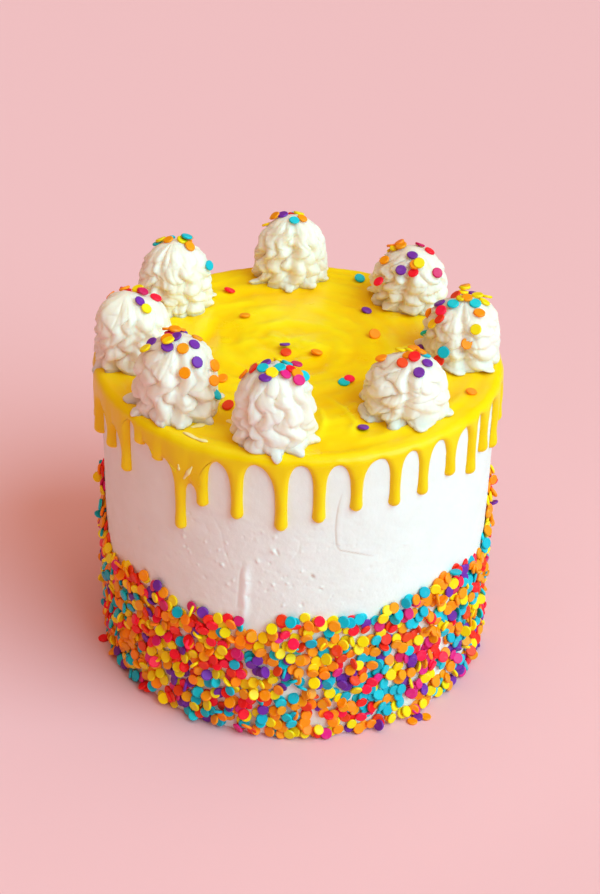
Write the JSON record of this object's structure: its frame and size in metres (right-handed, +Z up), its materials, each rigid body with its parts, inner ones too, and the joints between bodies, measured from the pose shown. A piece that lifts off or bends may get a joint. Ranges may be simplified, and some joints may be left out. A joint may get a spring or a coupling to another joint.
{
  "type": "birthday cake",
  "caption": "Tall round buttercream cake with dripping yellow glaze, piped swirls round the top and a band of round confetti sprinkles at its foot.",
  "frame": {"origin": "centre of the flat foot that the cake rests on", "axes": "+Z up along the cake's axis, -Y towards the front of the pictured view, +X to its right"},
  "size_m": [0.1708, 0.1708, 0.1698],
  "materials": {
    "buttercream": "white buttercream smoothed by hand, satin matte",
    "yellow_glaze": "yellow set chocolate glaze, semi-gloss",
    "piped_cream": "piped white buttercream, satin",
    "confetti": "pressed sugar confetti in mixed colours, matte"
  },
  "bodies": {
    "root": {"buttercream_cake": "buttercream", "yellow_drip_glaze": "yellow_glaze", "swirl_back": "piped_cream", "swirl_back_left": "piped_cream", "swirl_left": "piped_cream", "swirl_front_left": "piped_cream", "swirl_front": "piped_cream", "swirl_front_right": "piped_cream", "swirl_right": "piped_cream", "swirl_back_right": "piped_cream"}
  },
  "joints": []
}
